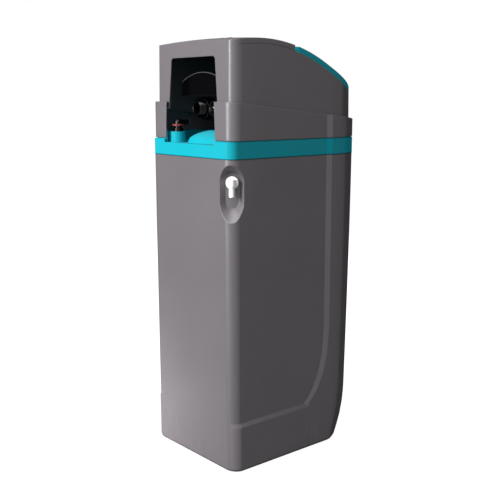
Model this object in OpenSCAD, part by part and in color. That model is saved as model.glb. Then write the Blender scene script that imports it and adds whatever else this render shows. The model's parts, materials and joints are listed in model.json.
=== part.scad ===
// Cabinet water softener: a salt cabinet with a resin tank and a motorised
// control valve under a lift-off hood. Front faces -Y, the plumbing window +Y.

/* [Cabinet] */
// Width of the band across the front half
band_w = 352; // [346:1:364]
// Depth of the band from its back to the nose of the bowed front
band_d = 505; // [498:1:520]
// Height of the grey cabinet shell below the band
shell_h = 804; // [780:1:830]
// Height of the coloured band
band_h = 42; // [38:1:48]
// Depth of the recessed side panels
recess = 6; // [4:0.5:8]
// Thickness of the moulded walls
wall = 4; // [3:0.5:5]
// Radius of the upright back corners
corner_r = 28; // [26:1:34]
// How far the back wall leans in at the floor
back_taper = 4; // [2:1:8]
// How far the nose of the front leans in at the floor
nose_taper = 26; // [18:1:32]

/* [Hood] */
// Height of the collar at the back
collar_h = 97; // [90:1:102]
// Slope of the step between collar and hood, in degrees
step_slope = 5.9; // [4:0.1:6.5]
// Height of the crest of the hood above the band
crest_h = 254.5; // [248:0.5:262]
// How far the hood is set in from the collar
hood_inset = 6; // [5.5:0.5:7]
// Thickness of the lid and of the top panel at their edges
lid_t = 14; // [12:0.5:15]
// Radius of the arched top seen from the side
dome_r = 480; // [460:5:500]
// Radius of the slight arch seen from the back
crown_r = 2400; // [2000:50:3000]

/* [Resin tank] */
// Diameter of the resin tank
tank_d = 205; // [198:1:208]
// Height of the tank's neck above the band
tank_rise = 46; // [44:1:50]

/* [Plumbing] */
// Outside diameter of the threaded inlet and outlet
port_d = 41.9; // [38:0.1:42.5]
// Distance between inlet and outlet
port_pitch = 72; // [70:1:76]
// Outside diameter of the overflow spout
spout_d = 13.6; // [12:0.1:15]
// Outside diameter of the brine pipe
brine_d = 13; // [11:0.5:14]

/* [Drive] */
// Tooth size of the drive gears
gear_m = 1.25; // [1.2:0.05:1.3]
// Travel of the piston
piston_travel = 18; // [17:0.5:20]

/* [Hidden] */
$fn = 64;

// Colours
grey = "#8a8386";
teal = "#17b3c8";
black = "#1c1d20";
dark = "#4a4749";
white = "#f4f3f1";
red = "#c8281e";
fibreglass = "#2f5d8a";
resin = "#b0752e";
steel = "#b8bcc0";
board_green = "#2f6b45";

// Clearances
seat_gap = 0.2;
lid_gap = 0.4;
skin_gap = 0.1;
slip = 0.3;
run_fit = 0.05;
join = 0.5;

// Levels and places shared by many pieces
y_back = band_d / 2;
y_nose = -band_d / 2;
half_front = band_w / 2;
half_side = half_front - recess;
z_band = shell_h + band_h;
step_back_z = z_band + collar_h;
crest_z = z_band + crest_h;
crest_y = y_back - 107.5;
cover_top = crest_z + 10;

// Plan of the band: rounded back corners, recessed sides, sloped riser, bowed front
corner_steps = 8;
side_steps = 3;
bow_steps = 20;
bow_power = 2 / 2.4;
riser_len = 15;
side_len = 327;
riser_y = y_back - side_len;
bow_y = riser_y - riser_len - 1;
corner_x = half_side - corner_r;

// Cabinet shell
overhang = 0.5;
foot_r = 8;
floor_t = 5;
taper_power = 1.5;
toe_h = 170;
toe_in = 10;
toe_round = 0.4;
ledge_z = 131;
ledge_h = 10;
sweep_y = 113;
sweep_z = 200;
sweep_share = 0.94;

// Overflow pocket: depths run along the corner diagonal, levels from the top of the shell
pocket_depth = 40;
pocket_floor_r = 18;
pocket_mouth_r = 66;
pocket_top = shell_h - 52;
pocket_low = shell_h - 103;
pocket_mouth_top = shell_h - 70;
pocket_skin = 4;
backing_drop = 220;
corner_at = [-(half_side - overhang), y_back - overhang];
elbow_z = shell_h - 57;
elbow_flange_r = 15.8;
elbow_flange_t = 4;
elbow_reach = 16;
elbow_wall = 2;
gasket_t = 1;
spout_len = 34;
overflow_bore = 9;
nut_h = 6;

// Band, deck and upstand
deck_t = 4;
deck_z = z_band - 9;
deck_front = -5;
frame_lip = 6;
frame_lip_t = 3;
upstand_t = 3;
upstand_h = 20;
shadow_gap = 2.5;
salt_rim = 24;
rib_t = 20;

// Collar and hood walls
cover_wall = 3.5;
collar_set = 4;
hood_set = 7;
hood_draft = 4;
step_inset = hood_inset + hood_draft * (step_back_z - shell_h) / (cover_top - shell_h);
seat_drop = 14;
seat_t = 4;
seat_spare = 1.5;
shelf_gap = 2;
window_top_z = z_band + 206;
window_r = 10;
window_half_top = 92;
window_half_mid = 101;
window_half_low = 105;
hatch_rim = 26;
hatch_back = 12;
slope_deg = 27;

// Places along the hood's top, from back to front
panel_back = y_back - 36.5;
panel_front = y_back - 218.5;
lid_back = panel_front - 14;
hinge_y = panel_front - 9;
hinge_z = crest_z - 23.5;
knuckle_r = 4.2;
hinge_pin_r = 2.2;
hinge_in = 86;
knuckle_w = 8;
lid_knuckle_w = 16;
panel_wall = 4;
lid_wall = 3;
opening_half = 118;
opening_rim = 27;

// Control panel
button_y = crest_y + 5;
button_r = 7;
button_x = [-45, -15, 15, 45];
button_proud = 1.2;
button_flange_r = 8.6;
button_flange_t = 1.6;
button_gap = 0.4;
button_stem_r = 2.5;
board_z = crest_z - 15;
board_t = 1.6;
board_half = 62;
board_y = [crest_y - 65, crest_y + 25];
board_post_r = 3;
board_post_in = 5;
display_half = 45;
display_y = [crest_y - 57, crest_y - 23];
display_t = 2.4;
display_rim = 4;

// Resin tank
tank_y = y_back - 137.5;
tank_r = tank_d / 2;
tank_wall = 3;
tank_low = 12;
tank_dish = 83;
tank_shoulder = 95;
neck_top = z_band + tank_rise;
neck_r = 38;
neck_bore = 31.5;
neck_len = 24;
neck_low = neck_top - neck_len;
shoulder_z = neck_low - tank_shoulder * sqrt(1 - pow(neck_r / tank_r, 2));
dish_z = tank_low + tank_dish;
dish_steps = 12;
boot_h = 70;
boot_set = 2;
boot_rim = 30;
cowl_t = 3;
cowl_r = tank_r + 9.5;
cowl_h = neck_low - deck_z + 4.6;
cowl_hole = 52;
riser_r = 13.5;
riser_wall = 2;
riser_low = 30;
riser_top = neck_top + 10;
basket_low = tank_low + tank_wall + 2;
basket_r = 22;
basket_h = 44;
slot_count = 12;
slot_w = 2;
slot_margin = 6;
upper_basket_r = 27;
upper_basket_h = 30;
bed_depth = 465;
bed_top = dish_z + bed_depth;

// Valve
port_z = neck_top + 33;
port_x = port_pitch / 2;
flange_r = 47;
flange_h = 12;
spigot_r = 30;
spigot_len = 22;
seal_drop = 14;
seal_h = 4;
chamber_r = 30;
piston_r = 20;
chamber_low = neck_top + 12;
chamber_top = neck_top + 46 + piston_travel;
passage_r = 8;
barrel_r = 24;
barrel_start = tank_y - 10;
barrel_end = tank_y + 57;
fitting_end = tank_y + 85;
fitting_flange_t = 4;
fitting_neck_len = 4.5;
port_bore_r = 13;
side_x = port_x + barrel_r + 4;
side_z = port_z + 6;
side_bore_r = 4;
injector_y = tank_y - 24;
injector_r = 14;
drain_y = tank_y - 18;
drain_r = 9;
drain_spout_r = 6.5;
drain_reach = 16;
drain_end = tank_y + 40;
stud_x = 38;
stud_y = tank_y - 20;
stud_r = 7;
screw_r = 1.5;
screw_len = 9;
screw_head_r = 3.5;
screw_head_h = 2.5;
nut_r = 29;
nut_lip = 4;
nut_grip = 14;
knurl_count = 24;
knurl_r = 1.6;
cage_y = barrel_end + 6;
cage_t = 3;
cage_bar = 1.6;
turbine_r = 10.5;
turbine_hub_r = 4;
turbine_len = 12;
turbine_pin_r = 1.5;
blade_count = 6;
blade_pitch = 30;

// Piston
land_h = 6;
land_step = 13;
land_count = 3;
core_r = 9;
piston_low = chamber_low + 1;
rod_r = 6;

// Drive
bracket_t = 4;
bracket_z = chamber_top;
bonnet_r = 18;
bonnet_h = 23;
bonnet_flange_r = piston_r + 3;
gear_z = bracket_z + bonnet_h + slip;
gear_t = 8;
wheel_z = gear_z + gear_t + 4;
wheel_t = 5;
drive_teeth = 48;
small_teeth = 12;
wheel_teeth = 40;
pinion_teeth = 12;
gear_dist = gear_m * (drive_teeth + small_teeth) / 2;
wheel_dist = gear_m * (wheel_teeth + pinion_teeth) / 2;
motor_dir = 36.87;
motor_at = [wheel_dist * cos(motor_dir), tank_y + gear_dist + wheel_dist * sin(motor_dir)];
gear_post_r = 3;
shaft_spare = 2;
motor_r = 16;
motor_boss_r = 4;
motor_shaft_r = 1.5;
cover_half = 88;
cover_t = 2.5;
cover_front = tank_y - 59;
cover_back = tank_y + 91;
cover_side_h = 32;
cover_arch = 24;

// Brine side
brine_x = 86;
brine_y = y_back - 31;
boss_r = 19;
boss_top = z_band + 19;
brine_r = brine_d / 2;
brine_wall = 2;
brine_grip = 6;
float_z = 300;
float_r = 16;
float_h = 50;
stop_r = brine_r + 4;
stop_h = 6;
check_r = 15;
check_wall = 3;
check_top = 81;
check_y = brine_y - 4;
check_slots = 8;
brine_flange_r = 13;
brine_flange_h = 8;
brine_neck_r = 10;
brine_bend_z = boss_top + 24;
brine_spout_r = 7;
brine_spout_len = 30;
brine_bore_r = 4;
clip_r = 15;
clip_h = 4;
clip_z = boss_top + 15;
clip_slot = 16;

// Helper shapes

function ease(z) = pow(max(0, 1 - z / shell_h), taper_power);

function fillet(z) = z >= foot_r ? 0 : foot_r - sqrt(pow(foot_r, 2) - pow(foot_r - z, 2));

// Share of the rounder, drawn-in toe at a height
function toe(z) = pow(max(0, 1 - z / toe_h), 3);

// Share of the side recess that is left at a height: none below the ledge
function recess_at(z) = recess * min(1, max(0, (z - ledge_z + ledge_h) / ledge_h));

// How far the riser sweeps back as it runs into the ledge
function sweep_at(z) =
    z >= ledge_z + sweep_z ? 0
    : sweep_y * (1 - sqrt(1 - pow(sweep_share * min(1, (ledge_z + sweep_z - z) / sweep_z), 2)));

// Right half of a plan, from the middle of the back to the nose
function half_plan(side, front, back, nose, riser0, power = bow_power) =
    let (side_start = back - corner_r) concat(
        [[0, back]],
        [for (i = [0:corner_steps]) let (a = 90 * i / corner_steps)
            [corner_x + (side - corner_x) * sin(a), side_start + corner_r * cos(a)]],
        [for (i = [1:side_steps]) [side, side_start + (riser0 - side_start) * i / side_steps]],
        [[front, riser0 - riser_len]],
        [for (i = [0:bow_steps]) let (t = 90 * i / bow_steps)
            [front * pow(cos(t), power), bow_y - (bow_y - nose) * pow(sin(t), power)]]
    );

function whole_plan(half) =
    concat(half, [for (i = [len(half) - 2:-1:1]) [-half[i].x, half[i].y]]);

// Plan of the band, set in by a distance all round
function band_plan(inset) =
    whole_plan(half_plan(half_side - inset, half_front - inset, y_back - inset, y_nose + inset, riser_y));

// Plan of the collar: as the band, with its back set in
function collar_plan(inset) =
    whole_plan(half_plan(half_side - inset, half_front - inset, y_back - collar_set - inset, y_nose + inset,
        riser_y));

// Plan of the hood: as the band, with plain sides and no riser
function hood_plan(inset) =
    whole_plan(half_plan(half_side - inset, half_side - inset, y_back - hood_set - inset, y_nose + inset,
        riser_y));

// Plan of the cabinet shell at a height, set in by a distance
function shell_ring(z, inset) =
    let (in = inset + overhang + fillet(z))
    [for (p = whole_plan(half_plan(
        half_front - recess_at(z) - in, half_front - in,
        y_back - in - back_taper * ease(z), y_nose + in + nose_taper * ease(z) + toe_in * toe(z),
        riser_y + sweep_at(z), bow_power + toe_round * toe(z)))) [p.x, p.y, z]];

// Closed skin through a list of rings with equal point counts
module loft(rings) {
    n = len(rings[0]);
    points = [for (ring = rings) each ring];
    sides = [for (k = [0:len(rings) - 2], i = [0:n - 1]) let (a = k * n + i, b = k * n + (i + 1) % n)
        each [[a, b, b + n], [a, b + n, a + n]]];
    caps = [[for (i = [n - 1:-1:0]) i], [for (i = [0:n - 1]) (len(rings) - 1) * n + i]];
    polyhedron(points, concat(sides, caps));
}

module prism(plan, z0, z1) {
    translate([0, 0, z0])
        linear_extrude(z1 - z0)
            polygon(plan);
}

module plan_ring(outer, inner, z0, z1) {
    translate([0, 0, z0])
        linear_extrude(z1 - z0)
            difference() {
                polygon(outer);
                polygon(inner);
            }
}

module band_ring(outer, inner, z0, z1) {
    plan_ring(band_plan(outer), band_plan(inner), z0, z1);
}

// Side outline in Y and Z, carried through the whole width
module side_slab(outline) {
    rotate([90, 0, 90])
        linear_extrude(band_w + 40, center = true)
            polygon(outline);
}

// Back outline in X and Z, carried along Y
module back_slab(y0, y1) {
    translate([0, y1, 0])
        rotate([90, 0, 0])
            linear_extrude(y1 - y0)
                children();
}

module y_slice(y0, y1) {
    side_slab([[y0, shell_h], [y1, shell_h], [y1, cover_top], [y0, cover_top]]);
}

function step_z(y) = step_back_z - (y_back - y) * tan(step_slope);

// Strip along the sloped step, between two distances below it
module step_strip(low, high) {
    y0 = y_nose - 20;
    y1 = y_back + 20;
    side_slab([[y0, step_z(y0) - low], [y1, step_z(y1) - low],
        [y1, step_z(y1) - high], [y0, step_z(y0) - high]]);
}

// Section of the arched top: an arc that runs out into a straight slope
module top_section(drop) {
    centre = [crown_r - dome_r, crest_y];
    radius = dome_r - drop;
    tangent = centre + radius * [cos(slope_deg), -sin(slope_deg)];
    run = (dome_r - 100) * [-sin(slope_deg), -cos(slope_deg)];
    translate(centre)
        circle(r = radius, $fn = 180);
    polygon([centre, tangent, tangent + run, centre + run]);
}

// Everything below the arched and crowned top, lowered by a distance
module dome(drop) {
    crown_span = 12;
    translate([0, 0, crest_z - crown_r])
        rotate([-90, 0, 0])
            rotate([0, 0, -90 - crown_span / 2])
                rotate_extrude(angle = crown_span, $fn = 180)
                    top_section(drop);
}

module x_rod(r, x0, x1, y, z) {
    translate([x0, y, z])
        rotate([0, 90, 0])
            cylinder(r = r, h = x1 - x0);
}

module y_rod(r, y0, y1, x, z) {
    translate([x, y0, z])
        rotate([-90, 0, 0])
            cylinder(r = r, h = y1 - y0);
}

module z_rod(r, z0, z1, x, y) {
    translate([x, y, z0])
        cylinder(r = r, h = z1 - z0);
}

module z_tube(r, bore, z0, z1, x, y) {
    difference() {
        z_rod(r, z0, z1, x, y);
        z_rod(bore, z0 - 1, z1 + 1, x, y);
    }
}

// Outline in radius and height, turned about the axis of the tank
module turned(outline) {
    translate([0, tank_y, 0])
        rotate_extrude()
            polygon(outline);
}

module both_sides() {
    children();
    mirror([1, 0, 0])
        children();
}

// Frame of the overflow pocket: +Z leaves the corner along its diagonal, +X points down
module at_corner(depth, z) {
    inward = depth / sqrt(2);
    translate([corner_at.x + inward, corner_at.y - inward, z])
        rotate([0, 0, 135])
            rotate([0, 90, 0])
                children();
}

module gear(teeth, t) {
    pitch_r = gear_m * teeth / 2;
    root_r = pitch_r - 1.2 * gear_m;
    tip_r = pitch_r + 0.9 * gear_m;
    root_a = gear_m / root_r * 180 / PI;
    tip_a = 0.3 * gear_m / tip_r * 180 / PI;
    linear_extrude(t)
        polygon([for (i = [0:teeth - 1]) let (a = 360 * i / teeth) each [
            root_r * [cos(a - root_a), sin(a - root_a)],
            tip_r * [cos(a - tip_a), sin(a - tip_a)],
            tip_r * [cos(a + tip_a), sin(a + tip_a)],
            root_r * [cos(a + root_a), sin(a + root_a)]
        ]]);
}

// Cabinet, band and collar

module cabinet() {
    outer = [0, foot_r * 0.3, foot_r,
        for (f = [0.25, 0.5, 0.75, 1]) (ledge_z - ledge_h) * f, ledge_z,
        for (f = [0.01, 0.04, 0.1, 0.18, 0.3, 0.45, 0.65, 1]) ledge_z + sweep_z * f,
        for (f = [0.2, 0.4, 0.6, 0.8, 1]) ledge_z + sweep_z + (shell_h - ledge_z - sweep_z) * f];
    inner = [for (i = [len(outer) - 1:-1:3]) outer[i]];
    color(grey)
        difference() {
            union() {
                loft(concat(
                    [for (z = outer) shell_ring(z, 0)],
                    [for (z = inner) shell_ring(z, wall)],
                    [shell_ring(floor_t + wall, wall)],
                    [[for (p = shell_ring(foot_r, wall + foot_r / 2)) [p.x, p.y, floor_t]]]
                ));
                pocket_backing();
            }
            pocket(0);
            at_corner(pocket_depth + 2 * pocket_skin, elbow_z)
                cylinder(r = overflow_bore, h = 3 * pocket_skin);
        }
}

// Scoop at the corner for the overflow, grown by a thickness
module pocket(grow) {
    hull() {
        for (z = [pocket_low, pocket_top])
            at_corner(pocket_depth + grow, z)
                cylinder(r = pocket_floor_r + grow, h = 0.5, $fn = 32);
        for (z = [pocket_low, pocket_mouth_top])
            at_corner(0, z)
                cylinder(r = pocket_mouth_r + grow, h = 0.5, $fn = 32);
    }
}

// Wall behind the scoop, kept inside the skin of the shell
module pocket_backing() {
    intersection() {
        loft([for (drop = [backing_drop, backing_drop / 2, 1]) shell_ring(shell_h - drop, wall / 4)]);
        pocket(pocket_skin);
    }
}

module support_frame() {
    notch_y = y_back - collar_set - cover_wall - slip - upstand_t - 0.5;
    color(teal)
        difference() {
            union() {
                band_ring(0, wall + join, shell_h, z_band);
                upstand();
                frame_spigot();
                deck();
                cowl();
                z_rod(boss_r, deck_z - deck_t, boss_top, brine_x, brine_y);
                intersection() {
                    translate([brine_x, brine_y - rib_t / 2, deck_z - deck_t])
                        cube([half_side - brine_x, rib_t, boss_top - join - deck_z + deck_t]);
                    prism(collar_plan(cover_wall + slip + upstand_t / 2), shell_h, z_band + upstand_h);
                }
            }
            z_rod(brine_r + slip, shell_h, boss_top + 1, brine_x, brine_y);
            back_slab(notch_y, y_back + 1)
                polygon([[-window_half_low, deck_z], [window_half_low, deck_z],
                    [window_half_low, z_band + upstand_h + 1], [-window_half_low, z_band + upstand_h + 1]]);
        }
}

// Rim inside the band that carries the collar
module upstand() {
    out = cover_wall + slip;
    plan_ring(collar_plan(out), collar_plan(out + upstand_t), shell_h + 2 * frame_lip, z_band + upstand_h);
}

// Lip that drops into the mouth of the cabinet
module frame_spigot() {
    out = overhang + wall + slip;
    band_ring(wall, out + frame_lip_t, shell_h, shell_h + 3 * frame_lip);
    band_ring(out, out + frame_lip_t, shell_h - frame_lip, shell_h + frame_lip);
}

module deck() {
    difference() {
        prism(band_plan(wall), deck_z - deck_t, deck_z);
        intersection() {
            prism(band_plan(salt_rim), deck_z - deck_t - 1, deck_z + 1);
            y_slice(y_nose, deck_front);
        }
        z_rod(cowl_r - cowl_t, deck_z - deck_t - 1, deck_z + 1, 0, tank_y);
    }
}

// Domed cowl over the shoulder of the tank
module cowl() {
    function arc(inset) = [for (i = [0:dish_steps])
        let (r = cowl_r - inset, x = r - (r - cowl_hole) * i / dish_steps)
        [x, deck_z + (cowl_h - inset) * sqrt(max(0, 1 - pow(x / r, 2)))]];
    inner = arc(cowl_t);
    turned(concat([[cowl_r, deck_z - deck_t]], arc(0), [for (i = [dish_steps:-1:0]) inner[i]],
        [[cowl_r - cowl_t, deck_z - deck_t]]));
}

module collar() {
    rim_z = z_band + upstand_h;
    rim_top = rim_z + upstand_t;
    color(grey)
        difference() {
            intersection() {
                prism(collar_plan(0), z_band + shadow_gap, step_back_z + 20);
                step_strip(collar_h + 20, 0);
            }
            prism(collar_plan(cover_wall), z_band, rim_z);
            prism(collar_plan(cover_wall + upstand_t + 2), z_band, rim_top + 1);
            prism(hood_plan(step_inset + cover_wall + seat_spare), z_band, step_back_z + 30);
            intersection() {
                prism(collar_plan(cover_wall), rim_top, step_back_z + 20);
                union() {
                    step_strip(collar_h, seat_drop + seat_t);
                    step_strip(seat_drop, cover_wall);
                }
            }
            intersection() {
                prism(hood_plan(step_inset - shelf_gap), z_band, step_back_z + 30);
                step_strip(seat_drop, -collar_h);
            }
            back_slab(y_back - corner_r - 10, y_back + 1)
                polygon([[-window_half_low, z_band], [window_half_low, z_band],
                    [window_half_mid, step_back_z + 1], [-window_half_mid, step_back_z + 1]]);
        }
}

// Hood, lid and control panel

// Space inside the hood's skin, set in by a distance: its walls draw in towards the top
module hood_block(inset) {
    function ring(z, in) = [for (p = hood_plan(in)) [p.x, p.y, z]];
    loft([ring(shell_h, inset), ring(cover_top, inset + hood_draft)]);
}

module hood_solid(thin) {
    intersection() {
        hood_block(hood_inset + thin);
        union() {
            dome(lid_t + thin);
            intersection() {
                dome(thin);
                y_slice(panel_back + seat_gap + thin, y_back);
            }
        }
    }
}

module window_outline() {
    corner_z = window_top_z - window_r;
    corner_half = window_half_top - window_r;
    polygon([[-window_half_low, shell_h], [window_half_low, shell_h],
        [window_half_mid, step_back_z], [window_half_top, corner_z],
        [-window_half_top, corner_z], [-window_half_mid, step_back_z]]);
    translate([-corner_half, corner_z - 1])
        square([2 * corner_half, window_r + 1]);
    for (side = [-1, 1])
        translate([side * corner_half, corner_z])
            circle(r = window_r);
}

// Hinge knuckle with its web, bored for the pin
module knuckle(x0, width, bore) {
    difference() {
        union() {
            x_rod(knuckle_r, x0, x0 + width, hinge_y, hinge_z);
            children();
        }
        x_rod(bore, x0 - 1, x0 + width + 1, hinge_y, hinge_z);
    }
}

module hood() {
    web_h = 2 * knuckle_r + 2;
    color(grey) {
        difference() {
            intersection() {
                hood_solid(0);
                step_strip(seat_drop - seat_gap, -crest_h);
            }
            hood_solid(cover_wall);
            back_slab(y_back - corner_r, y_back + 1)
                window_outline();
            intersection() {
                prism(hood_plan(hatch_rim), z_band, cover_top);
                y_slice(y_nose, lid_back - hatch_back);
            }
            translate([-opening_half, panel_front + opening_rim, window_top_z])
                cube([2 * opening_half, panel_back - panel_front - 2 * opening_rim, crest_z - window_top_z]);
        }
        both_sides()
            for (x = [hinge_in, hinge_in + knuckle_w + lid_knuckle_w])
                knuckle(x, knuckle_w, hinge_pin_r)
                    translate([x, hinge_y - knuckle_r / 2, hinge_z - web_h])
                        cube([knuckle_w, knuckle_r, web_h]);
    }
}

// Shell of the arched top between two places along it
module top_shell(y0, y1, thickness) {
    difference() {
        intersection() {
            hood_block(hood_inset);
            dome(0);
            y_slice(y0, y1);
        }
        dome(lid_t - lid_gap);
        intersection() {
            hood_block(hood_inset + thickness);
            dome(thickness);
            y_slice(y0 + thickness, y1 - thickness);
        }
    }
}

module salt_lid() {
    x = hinge_in + knuckle_w + slip;
    width = lid_knuckle_w - 2 * slip;
    arm_h = 1.4 * knuckle_r;
    color(teal) {
        top_shell(y_nose, lid_back, lid_wall);
        both_sides()
            knuckle(x, width, hinge_pin_r + run_fit)
                translate([x, lid_back - lid_wall / 2, hinge_z - arm_h / 2])
                    cube([width, hinge_y - lid_back + lid_wall / 2, arm_h]);
    }
}

module lid_hinge_pins() {
    color(steel)
        both_sides()
            x_rod(hinge_pin_r, hinge_in, hinge_in + 2 * knuckle_w + lid_knuckle_w, hinge_y, hinge_z);
}

// Upright block over the display, set in by a distance
module display_block(inset) {
    half = display_half - inset;
    depth = display_y[1] - display_y[0] - 2 * inset;
    translate([-half, display_y[0] + inset, board_z])
        cube([2 * half, depth, cover_top - board_z]);
}

module top_panel() {
    color(grey)
        difference() {
            union() {
                top_shell(panel_front, panel_back, panel_wall);
                intersection() {
                    dome(panel_wall / 2);
                    for (x = [-1, 1], y = [board_y[0] + board_post_in, board_y[1] - board_post_in])
                        z_rod(board_post_r, board_z, crest_z, x * (board_half - board_post_in), y);
                }
            }
            difference() {
                display_block(0);
                dome(display_t + slip);
            }
            display_block(display_rim);
            for (x = button_x)
                z_rod(button_r + slip, board_z, cover_top, x, button_y);
        }
}

module display_window() {
    color(black)
        difference() {
            intersection() {
                display_block(skin_gap);
                dome(seat_gap);
            }
            dome(display_t);
        }
}

module circuit_board() {
    color(board_green)
        translate([-board_half, board_y[0], board_z - board_t])
            cube([2 * board_half, board_y[1] - board_y[0], board_t]);
}

module push_button(i) {
    x = button_x[i];
    z = crest_z - x * x / (2 * crown_r);
    under = z - panel_wall - button_gap;
    z_rod(button_r, under - 1, z + button_proud, x, button_y);
    z_rod(button_flange_r, under - button_flange_t, under, x, button_y);
    z_rod(button_stem_r, board_z + 2, under - 1, x, button_y);
}

module menu_button() {
    color(dark)
        push_button(0);
}

module up_button() {
    color(dark)
        push_button(1);
}

module down_button() {
    color(dark)
        push_button(2);
}

module regenerate_button() {
    color(teal)
        push_button(3);
}

// Overflow

module overflow_elbow() {
    spout_r = spout_d / 2;
    hub_r = spout_r + elbow_wall;
    face = pocket_depth - gasket_t;
    front = face - elbow_flange_t;
    bend = front - elbow_reach + spout_r;
    tail = pocket_depth + pocket_skin + 2 * nut_h;
    color(white)
        difference() {
            union() {
                at_corner(face, elbow_z)
                    cylinder(r = elbow_flange_r, h = elbow_flange_t);
                at_corner(tail, elbow_z)
                    cylinder(r = overflow_bore - slip, h = tail - face + 1);
                at_corner(front + 1, elbow_z)
                    cylinder(r = hub_r - join, h = front + 1 - bend);
                at_corner(bend, elbow_z)
                    rotate([0, 90, 0]) {
                        translate([0, 0, -hub_r])
                            cylinder(r = hub_r, h = 2 * hub_r);
                        cylinder(r = spout_r, h = spout_len);
                    }
            }
            at_corner(tail + 1, elbow_z)
                cylinder(r = spout_r - elbow_wall + join, h = tail + 1 - bend);
            at_corner(bend, elbow_z)
                rotate([0, 90, 0])
                    cylinder(r = spout_r - elbow_wall, h = spout_len + 1);
        }
}

module overflow_gasket() {
    color(black)
        difference() {
            at_corner(pocket_depth, elbow_z)
                cylinder(r = elbow_flange_r - 1, h = gasket_t);
            at_corner(pocket_depth + 1, elbow_z)
                cylinder(r = overflow_bore, h = gasket_t + 2);
        }
}

module overflow_nut() {
    inside = pocket_depth + pocket_skin + nut_h;
    color(white)
        difference() {
            at_corner(inside, elbow_z)
                cylinder(r = elbow_flange_r, h = nut_h, $fn = 6);
            at_corner(inside + 1, elbow_z)
                cylinder(r = overflow_bore - slip + run_fit, h = nut_h + 2);
        }
}

// Resin tank

function dish(r, h) = [for (i = [0:dish_steps]) let (a = 90 * i / dish_steps)
    [r * sin(a), dish_z - h * cos(a)]];

function tank_outline(inset) =
    let (r = tank_r - inset, neck = neck_r - inset * (neck_r - neck_bore) / tank_wall,
        top = [for (i = [0:dish_steps]) let (x = r - (r - neck) * i / dish_steps)
            [x, shoulder_z + (tank_shoulder - inset) * sqrt(1 - pow(x / r, 2))]])
    concat(dish(r, tank_dish - inset), top, [[neck, neck_top + inset], [0, neck_top + inset]]);

module resin_tank() {
    color(fibreglass)
        difference() {
            turned(tank_outline(0));
            turned(tank_outline(tank_wall));
        }
}

module tank_boot() {
    r = tank_r - boot_set;
    color(black)
        difference() {
            z_rod(r, floor_t, floor_t + boot_h, 0, tank_y);
            turned(concat(dish(tank_r + slip, tank_dish + slip), [[0, dish_z]]));
            z_rod(r - boot_rim, floor_t - 1, floor_t + boot_h, 0, tank_y);
        }
}

module riser_tube() {
    color(white)
        z_tube(riser_r, riser_r - riser_wall, riser_low, riser_top, 0, tank_y);
}

module slotted_cup(r, bore, z0, z1, floor) {
    difference() {
        z_rod(r, z0, z1, 0, tank_y);
        z_rod(bore, z0 + floor, z1 + 1, 0, tank_y);
        for (i = [0:slot_count - 1])
            translate([0, tank_y, z0 + slot_margin])
                rotate([0, 0, 360 * i / slot_count])
                    translate([bore - 1, -slot_w / 2, 0])
                        cube([r, slot_w, z1 - z0 - 2 * slot_margin]);
    }
}

module lower_basket() {
    low = basket_low + slip;
    color(white)
        slotted_cup(basket_r, riser_r + run_fit, low, basket_low + basket_h, riser_low - low);
}

module upper_basket() {
    top = neck_top - spigot_len;
    color(white)
        slotted_cup(upper_basket_r, riser_r + slip, top - upper_basket_h, top, -1);
}

module resin_bed() {
    outer = [for (p = tank_outline(tank_wall + slip)) if (p.y <= dish_z) p];
    color(resin)
        difference() {
            turned(concat(outer, [[tank_r - tank_wall - slip, bed_top], [0, bed_top]]));
            z_rod(basket_r + slip, 0, basket_low + basket_h + slip, 0, tank_y);
            z_rod(riser_r + slip, 0, bed_top + 1, 0, tank_y);
        }
}

module neck_seal() {
    low = neck_top - seal_drop;
    color(black)
        z_tube(neck_bore - run_fit, spigot_r + run_fit, low, low + seal_h, 0, tank_y);
}

// Valve

module valve_body() {
    color(black)
        difference() {
            union() {
                z_rod(spigot_r, neck_top - spigot_len, neck_top + 1, 0, tank_y);
                z_rod(flange_r, neck_top, neck_top + flange_h, 0, tank_y);
                z_rod(chamber_r, neck_top + 1, chamber_top, 0, tank_y);
                for (x = [-port_x, port_x])
                    y_rod(barrel_r, barrel_start, barrel_end, x, port_z);
                x_rod(injector_r, 0, side_x, injector_y, side_z);
                x_rod(drain_r, -side_x, 0, drain_y, side_z);
                for (x = [-stud_x, stud_x])
                    z_rod(stud_r, neck_top + 4, bracket_z, x, stud_y);
            }
            z_rod(riser_r + slip, neck_top - spigot_len - 1, riser_top, 0, tank_y);
            z_rod(passage_r, neck_top, chamber_low + 1, 0, tank_y);
            z_rod(piston_r, chamber_low, chamber_top + 1, 0, tank_y);
            for (x = [-port_x, port_x])
                y_rod(port_bore_r, tank_y + 2, barrel_end + 1, x, port_z);
            x_rod(passage_r, -port_x, port_x, tank_y + passage_r, port_z);
            x_rod(side_bore_r, 0, side_x + 1, injector_y, side_z);
            x_rod(side_bore_r, -side_x - 1, 0, drain_y, side_z);
            for (x = [-stud_x, stud_x])
                z_rod(screw_r + skin_gap, bracket_z - screw_len - 1, bracket_z + 1, x, stud_y);
        }
}

module pipe_fitting(x) {
    r = port_d / 2;
    color(black)
        difference() {
            union() {
                y_rod(barrel_r, barrel_end, barrel_end + fitting_flange_t, x, port_z);
                y_rod(r - join, barrel_end, fitting_end, x, port_z);
                y_rod(r, barrel_end + fitting_flange_t + fitting_neck_len, fitting_end, x, port_z);
            }
            y_rod(port_bore_r, barrel_end - 1, fitting_end + 1, x, port_z);
        }
}

module inlet_fitting() {
    pipe_fitting(port_x);
}

module outlet_fitting() {
    pipe_fitting(-port_x);
}

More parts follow.
